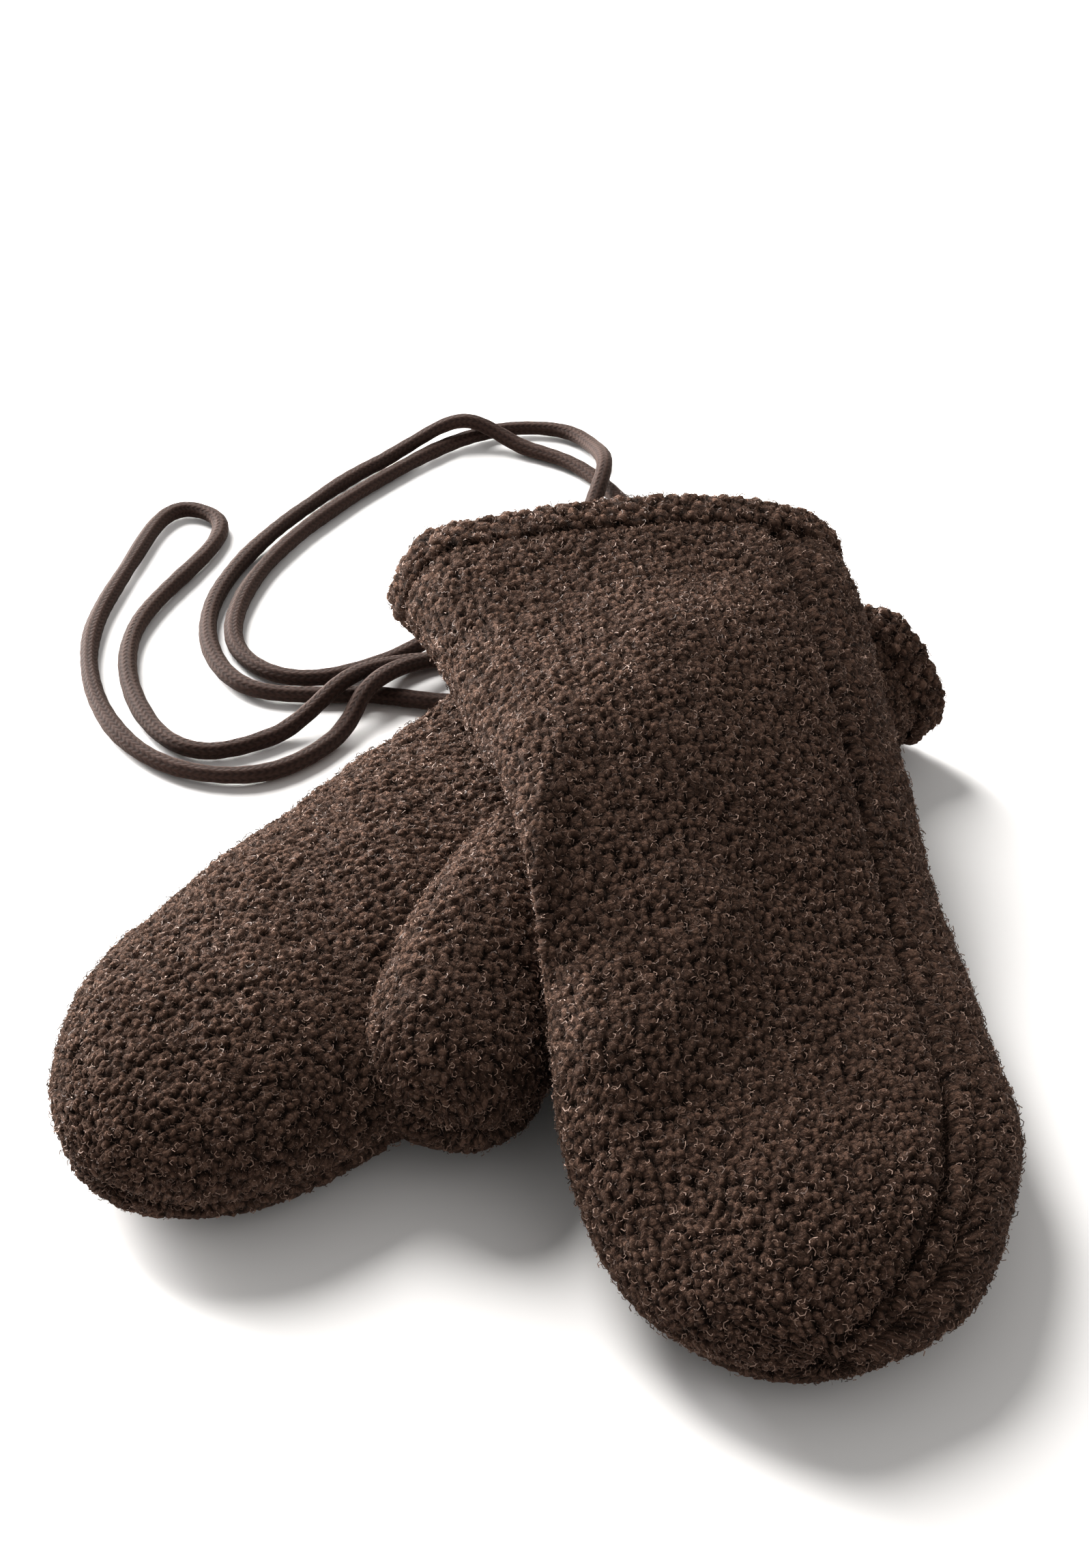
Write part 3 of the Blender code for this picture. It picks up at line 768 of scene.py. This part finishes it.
def fibre_material():
    """Single wool fibres, each of its own random tone, and lighter than the curls they stand out of
    as painted highlight where they catch the light.
    """
    made = Finish("loose_fibres")
    # Random tone for each fibre; the whole ramp lies above the curls' colour as painted highlight.
    colour = made.shade(made.kept("shade").outputs["Fac"], [
        (0.1, (0.048, 0.0270, 0.0190)),
        (0.6, (0.130, 0.0800, 0.0590)),
        (1.0, (0.260, 0.1700, 0.1300)),
    ])
    made.surface(colour, 0.7, 0.3)
    return made.material


def fibre_tree():
    """Scatters small curled fibres over the pile, evenly spaced, each leaning its own way."""
    tree = new_tree("loose_fibres_of_pile", {
        "Cloth": "Geometry", "Least gap": "Float", "Fibre width": "Float", "Curl radius": "Float",
        "Lean": "Float", "Seed": "Int", "Finish": "Material",
    })
    made = Nodes(tree)
    given = tree.nodes.new("NodeGroupInput").outputs
    most = made.math("DIVIDE", 4.0, made.math("MULTIPLY", given["Least gap"], given["Least gap"]))
    spread = made.add(
        "GeometryNodeDistributePointsOnFaces", {"distribute_method": "POISSON"},
        Mesh=given["Cloth"], Distance_Min=given["Least gap"], Density_Max=most,
        Density_Factor=made.stored("cover"), Seed=given["Seed"],
    )
    ribbon = made.add("GeometryNodeCurvePrimitiveLine")
    for end, sign in (("Start", -0.5), ("End", 0.5)):
        corner = made.add("CombineXYZ", n0=made.math("MULTIPLY", given["Fibre width"], sign))
        made.put(ribbon.inputs[end], corner.outputs[0])
    kinds = tree.nodes.new("GeometryNodeJoinGeometry")
    for turns, steps, opening, rising in FIBRE_FORMS:
        curl = made.add("GeometryNodeCurveSpiral", Resolution=steps, Rotations=turns)
        for label, factor in (("Start Radius", 1.0), ("End Radius", opening), ("Height", rising)):
            made.put(curl.inputs[label], made.math("MULTIPLY", given["Curl radius"], factor))
        walked = made.add("GeometryNodeSplineParameter").outputs["Factor"]
        thinning = made.math("SUBTRACT", 1.0, made.math("MULTIPLY", walked, 0.8))
        curve = made.add("GeometryNodeSetCurveRadius", Curve=curl.outputs[0], Radius=thinning)
        strand = made.add("GeometryNodeCurveToMesh", Curve=curve.outputs[0])
        made.put(strand.inputs["Profile Curve"], ribbon.outputs[0])
        alone = made.add("GeometryNodeGeometryToInstance", n0=strand.outputs[0])
        made.put(kinds.inputs[0], alone.outputs[0])
    lean = made.add(
        "CombineXYZ",
        n0=made.math("MULTIPLY", given["Lean"], made.chance(-1.0, 1.0, 4)),
        n1=made.math("MULTIPLY", given["Lean"], made.chance(-1.0, 1.0, 5)),
        n2=made.chance(0.0, 6.28, 6),
    )
    turned = made.add("FunctionNodeRotateRotation", {"rotation_space": "LOCAL"})
    made.put(turned.inputs[0], spread.outputs["Rotation"])
    made.put(turned.inputs[1], lean.outputs[0])
    planted = made.add(
        "GeometryNodeInstanceOnPoints",
        Points=spread.outputs["Points"], Instance=kinds.outputs[0], Pick_Instance=True,
        Rotation=turned.outputs[0], Scale=made.chance(0.6, 1.35, 7),
    )
    shaded = made.add(
        "GeometryNodeStoreNamedAttribute", {"data_type": "FLOAT", "domain": "INSTANCE"},
        Name="shade", Geometry=planted.outputs[0], Value=made.chance(0.0, 1.0, 8),
    )
    real = made.add("GeometryNodeRealizeInstances", n0=shaded.outputs[0])
    even = made.add("GeometryNodeSetShadeSmooth", n0=real.outputs[0])
    finish = made.add("GeometryNodeSetMaterial", n0=even.outputs[0], Material=given["Finish"])
    made.put(tree.nodes.new("NodeGroupOutput").inputs[0], finish.outputs[0])
    return tree


def dress(cloth, seed):
    """The loose fibres of one piece of cloth, as a piece of their own."""
    mesh = with_nodes(cloth, fibres, {**FIBRES, "Seed": seed, "Finish": fibre_finish})
    mesh.name = cloth.name.replace("_cloth", "_fibres")
    piece = bpy.data.objects.new(mesh.name, mesh)
    bpy.context.scene.collection.objects.link(piece)
    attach(piece, "root")
    return piece


FIBRES = {"Least gap": 0.00074, "Fibre width": 0.00014, "Curl radius": 0.00045, "Lean": 1.2}
FIBRE_FORMS = (
    # turns, steps, radius at its end and height, both as shares of the curl radius
    (0.50, 6, 1.5, 0.9),
    (0.66, 6, 1.0, 1.3),
    (0.83, 6, 0.7, 0.7),
)


def in_thumb(points, table):
    """Whether points lie in the thumb's own room, so that the hand's cloth is cut away there."""
    shares = np.linspace(0, 1, len(table))
    dense = np.linspace(0, 1, 60)
    x, y, z, wide, thick = (np.interp(dense, shares, table[:, k]) for k in range(5))
    line = np.stack([x, y, z], -1) - MIDDLE
    inside = np.zeros(points.shape[:-1], bool)
    for centre, w, t in zip(line[:48], wide - THUMB_WALL, thick - THUMB_WALL):
        off = points - centre
        flat = np.hypot(off[..., 0], off[..., 1])
        inside |= (flat / w) ** 2 + (off[..., 2] / t) ** 2 < 1
    return inside


def hand_panel(
    name, place, start, stop, rows, cols, folds, raised, thumb_table, lift, groove=None
):
    """A palm or back, from the angle of one seam to the angle of the other."""
    fine_rows = even_stations(place, HEM_WIDTH - TUCK, rows * BLOCK + 1)
    fine_cols = even_angles(place, start, stop, cols * BLOCK + 1, folds, raised)
    shift = np.array([0, 0, lift]) - MIDDLE
    outer = body(place, fine_rows, fine_cols, 0.0, folds, raised) + shift
    inner = body(place, fine_rows[::BLOCK], fine_cols[::BLOCK], WALL, folds, raised) + shift
    cell = 0.25 * (inner[:-1, :-1] + inner[1:, :-1] + inner[:-1, 1:] + inner[1:, 1:])
    return panel(name, outer, inner, ~in_thumb(cell, thumb_table), groove)


pile_finish = pile_material()
raised_curls = pile_tree()
backing = backing_material()
fibre_finish = fibre_material()
fibres = fibre_tree()
FULL_TURN = 2 * math.pi
right, left = (math.radians(a) for a in LOWER["seams"])
lower_back, lower_back_cut = hand_panel(
    "lower_back_cloth", LOWER, right, left, 40, 24, LOWER_FOLDS, False, LOWER_THUMB, SEAM_GAP
)
lower_palm, lower_palm_cut = hand_panel(
    "lower_palm_cloth", LOWER, left, right + FULL_TURN, 30, 14, LOWER_FOLDS, False, LOWER_THUMB, 0.0
)
sewn_in(lower_palm, "lower_palm", 7)
sewn_in(lower_back, "lower_back", 7)

# Upper mitten, hand part: the same two panels, lying across the lower mitten and down to the table.
# The seam shows on its right, and a short crease runs down from where the lower thumb pushes it up.
UPPER_FOLDS = [
    # as in LOWER_FOLDS
    [0.16, 100, -0.0016, 0.012, 60],
    [0.36, 70, 0.0012, 0.024, 45],
    [0.60, 142, -0.0022, 0.012, 10],
    [0.74, 80, -0.0012, 0.022, 40],
    [0.00, 152, 0.0080, 0.026, 24],
]
right, left = (math.radians(a) for a in UPPER["seams"])
upper_back, upper_back_cut = hand_panel(
    "upper_back_cloth", UPPER, right, left, 40, 24, UPPER_FOLDS, True, UPPER_THUMB, SEAM_GAP,
    GROOVE_FROM_SEAM,
)
upper_palm, upper_palm_cut = hand_panel(
    "upper_palm_cloth", UPPER, left, right + FULL_TURN, 32, 16, UPPER_FOLDS, True, UPPER_THUMB, 0.0
)
sewn_in(upper_palm, "upper_palm", 17)
sewn_in(upper_back, "upper_back", 17)

# Cuff hems: the open end of each mitten is turned in by about a finger's width and sewn down,
# which makes a soft rolled band with a groove along its stitching.
HEM_PROFILE = np.array([
    # along, inset
    [HEM_WIDTH, 0.0004],
    [HEM_WIDTH - 0.0012, -0.0004],
    [HEM_WIDTH * 0.55, -0.0009],
    [0.0022, -0.0007],
    [0.0006, 0.0006],
    [0.0000, 0.0024],
    [0.0007, 0.0042],
    [0.0026, 0.0052],
    [HEM_WIDTH, 0.0050],
    [HEM_WIDTH, 0.0004],
])
HEM_ROWS = 48
HEM_COLUMNS = 420
# The band's fuller pile is also painted lighter: painted light on the band.
HEM_FULLNESS = 1.2  # height of its pile, as a share of the panels'
HEM_TUFTS = 0.0005
HEM_INNER = 0.0046  # past this inset the band lies inside the cuff


def hem(name, place, folds, raised):
    """The turned band: rows run round its own section, columns round the wrist."""
    section = smooth(HEM_PROFILE, np.linspace(0, 1, HEM_ROWS + 1))[:-1]
    section[:, 0] = np.clip(section[:, 0], 0, HEM_WIDTH)
    turns = even_angles(place, -0.5 * math.pi, 1.5 * math.pi, HEM_COLUMNS + 1, folds, raised)[:-1]
    rows = [body(place, [along], turns, inset, folds, raised)[0] for along, inset in section]
    grid = np.array(rows) - MIDDLE
    core = grid.mean(axis=0, keepdims=True)
    wrapped = np.concatenate([grid[-1:], grid, grid[:1]])
    normals = outward(wrapped, core, True)[1:-1]
    edge = np.abs(section[:, 0] - HEM_WIDTH)
    dip = CUFF_DIP * np.exp(-((edge / CUFF_REACH) ** 2))[:, None, None]
    x, y, z = grid[..., 0], grid[..., 1], grid[..., 2]
    tufts = np.sin(1250 * x + 480 * y) * np.sin(1150 * y - 520 * x + 900 * z + 1.0)
    moved = (grid + normals * (HEM_TUFTS * tufts[..., None] - dip - PILE)).reshape(-1, 3)
    shown = np.where((section[:, 1] > HEM_INNER) | (edge < 0.0004), 0.0, 1.0)
    cover = covered(moved, normals.reshape(-1, 3), name) * shown.repeat(HEM_COLUMNS)
    moved[:, 2] = np.maximum(moved[:, 2], CLOTH_LOWEST)
    i, j = np.meshgrid(np.arange(HEM_ROWS), np.arange(HEM_COLUMNS), indexing="ij")
    i, j = i.ravel(), j.ravel()
    row, next_row = i * HEM_COLUMNS, (i + 1) % HEM_ROWS * HEM_COLUMNS
    m = (j + 1) % HEM_COLUMNS
    quads = np.stack([row + j, row + m, next_row + m, next_row + j], -1)
    triangles = np.concatenate([quads[:, [0, 1, 2]], quads[:, [0, 2, 3]]])
    # Fuller pile paints the band lighter, as painted light; inside the cuff the pile is flat and
    # painted darker, as painted shade.
    full = HEM_FULLNESS * ease(0.5 + edge / 0.0020)
    curl_height_and_painted_shading = np.where(section[:, 1] > HEM_INNER, 0.3, full).repeat(HEM_COLUMNS)
    made = mesh_piece(
        name, moved, triangles, [pile_finish],
        numbers={"cover": cover, "pile": curl_height_and_painted_shading}, vectors={"cloth": flat_places(grid)},
    )
    width = float(lengths(grid, 1)[:, -1].mean())
    return raised_pile(made), (width, 2 * HEM_WIDTH, width * 2 * HEM_WIDTH)


lower_hem, lower_hem_cut = hem("lower_hem_cloth", LOWER, LOWER_FOLDS, False)
upper_hem, upper_hem_cut = hem("upper_hem_cloth", UPPER, UPPER_FOLDS, True)
sewn_in(lower_hem, "lower_hem", 27)
sewn_in(upper_hem, "upper_hem", 27)

# Thumbs: each is two small panels sewn to each other and set into the hand.
# The lower one shows between the mittens, and the upper one lies hidden under its own hand.


def thumb(table, inset, angles, lift, count):
    """Rings of a thumb along its own axis, the last one a point."""
    axis = table[:, :3]
    steps = np.linalg.norm(np.diff(axis, axis=0), axis=1)
    whole = np.concatenate([[0], np.cumsum(steps)])
    keyed = np.column_stack([whole / whole[-1], table])
    total = whole[-1] - max(inset, 0)
    tip = THUMB_TIP - 0.5 * max(inset, 0)
    straight = int(round(count * 0.70))
    along = np.concatenate([
        np.linspace(-THUMB_ROOT, total - tip, straight),
        total - tip + tip * np.sin(np.linspace(0, math.pi / 2, count - straight + 1)[1:]),
    ])
    rings = []
    for a in along:
        share = np.clip(a / whole[-1], 0, 1)
        centre = np.array([column(keyed, share, k) for k in (1, 2, 3)], float)
        near = np.array([column(keyed, min(share + 0.01, 1), k) for k in (1, 2, 3)], float)
        far = np.array([column(keyed, max(share - 0.01, 0), k) for k in (1, 2, 3)], float)
        forward = (near - far) / np.linalg.norm(near - far)
        if a < 0:
            centre = centre + forward * a
        across = np.cross(forward, [0, 0, 1])
        across = -across / np.linalg.norm(across)
        upward = np.cross(forward, across)
        upward = upward if upward[2] > 0 else -upward
        q = np.clip((a - (total - tip)) / tip, 0, 1)
        cap = max(1 - q**THUMB_ROUND, 0.0) ** (1 / THUMB_ROUND)
        wide = (float(column(keyed, share, 4)) - inset) * cap
        thick = (float(column(keyed, share, 5)) - inset) * cap
        c = np.cos(angles)
        s = np.sin(angles)
        sideways = wide * np.sign(c) * np.abs(c) ** (2 / THUMB_ROUND)
        high = thick * np.sign(s) * np.abs(s) ** (2 / THUMB_ROUND)
        roll = math.radians(float(column(keyed, share, 6)))
        tilted = math.cos(roll) * across - math.sin(roll) * upward
        raised_side = math.sin(roll) * across + math.cos(roll) * upward
        rings.append(centre + sideways[:, None] * tilted + high[:, None] * raised_side)
    grid = np.array(rings)
    grid[..., 2] = np.maximum(grid[..., 2], THUMB_LOWEST + max(inset, 0.0)) + lift
    return grid - MIDDLE


def in_hand(points, place, raised):
    """How deep points lie in the hand part: under 1 is inside its surface."""
    points = points + MIDDLE
    forward, sideways = frame_of(place)
    dx = points[..., 0] - place["cuff"][0]
    dy = points[..., 1] - place["cuff"][1]
    along = np.clip(dx * forward[0] + dy * forward[1], 0, place["length"] * 0.999)
    across = dx * sideways[0] + dy * sideways[1] - bow_at(place, along)
    share = along / place["length"]
    half = column(SECTIONS, share, 1) * place["spread"]
    thick = column(SECTIONS, share, 2)
    waist = column(SECTIONS, share, 3) * thick
    ground = rise(points[..., 0], points[..., 1])[1] if raised else 0.0
    off = points[..., 2] - ground - waist
    tall = np.where(off > 0, thick - waist, waist)
    return np.abs(across / half) ** SIDE_ROUND + np.abs(off / tall) ** SIDE_ROUND


def thumb_panel(name, place, table, raised, start, lift, rows, cols):
    """Half of a thumb, on from the angle of its first seam, cut away where it lies in the hand."""
    stop = start + math.pi
    fine_angles = np.linspace(start, stop, cols * BLOCK + 1)
    fine = thumb(table, 0.0, fine_angles, lift, rows * BLOCK + 1)
    coarse = thumb(table, THUMB_WALL, np.linspace(start, stop, cols + 1), lift, rows + 1)
    cell = 0.25 * (fine[:-1, :-1] + fine[1:, :-1] + fine[:-1, 1:] + fine[1:, 1:])
    depth = in_hand(cell, place, raised)
    depth = depth.reshape(rows, BLOCK, cols, BLOCK).max(axis=(1, 3))
    return panel(name, fine, coarse, depth > 0.80)


for label, place, table, raised, rows, cols in (
    ("lower_thumb", LOWER, LOWER_THUMB, False, 20, 11),
    ("upper_thumb", UPPER, UPPER_THUMB, True, 12, 8),
):
    outer_half, outer_cut = thumb_panel(
        label + "_outer_cloth", place, table, raised, 0.0, SEAM_GAP, rows, cols
    )
    inner_half, inner_cut = thumb_panel(
        label + "_inner_cloth", place, table, raised, math.pi, 0.0, rows - 4, cols - 2
    )
    sewn_in(inner_half, label + "_inner", 37)
    sewn_in(outer_half, label + "_outer", 37)

# Floor: a plain pale sheet that turns up far behind, which is not part of the object.
floor_finish = Finish("pale_floor")
floor_finish.shader.inputs["Base Color"].default_value = (0.86, 0.86, 0.86, 1.0)
floor_finish.shader.inputs["Roughness"].default_value = 0.75
floor_mesh = bpy.data.meshes.new("floor")
floor_mesh.from_pydata(
    [
        (-4, -3, 0), (4, -3, 0), (4, 4, 0), (-4, 4, 0),
        (4, 5, 0.4), (-4, 5, 0.4), (4, 5.4, 3), (-4, 5.4, 3),
    ],
    [],
    [(0, 1, 2, 3), (3, 2, 4, 5), (5, 4, 6, 7)],
)
floor = bpy.data.objects.new("floor", floor_mesh)
bpy.context.scene.collection.objects.link(floor)
floor_mesh.materials.append(floor_finish.material)

# Light: a strong low lamp far to the left and behind, a weaker high one above it, a faint one in
# front, and a pale room.
LAMP_COLOUR = (1.0, 0.975, 0.95)


def soft_lamp(name, place, aim, size, power):
    lamp = bpy.data.lights.new(name, "AREA")
    lamp.shape = "DISK"
    lamp.size = size
    lamp.energy = power
    lamp.color = LAMP_COLOUR
    holder = bpy.data.objects.new(name, lamp)
    holder.location = place
    toward = Vector(aim) - Vector(place)
    holder.rotation_euler = toward.to_track_quat("-Z", "Y").to_euler()
    bpy.context.scene.collection.objects.link(holder)


soft_lamp("window", (-0.65, 1.00, 1.15), (0, 0, 0), 0.9, 50)
soft_lamp("side", (-1.15, 1.20, 0.34), (0, 0, 0.02), 0.9, 170)
soft_lamp("fill", (0.9, -0.9, 1.1), (0, 0, 0), 1.4, 3)
room = bpy.data.worlds.new("room")
bpy.context.scene.world = room
room.use_nodes = True
air = room.node_tree.nodes["Background"]
air.inputs["Color"].default_value = (*LAMP_COLOUR, 1.0)
air.inputs["Strength"].default_value = 0.42
bpy.context.scene.view_settings.view_transform = "Standard"
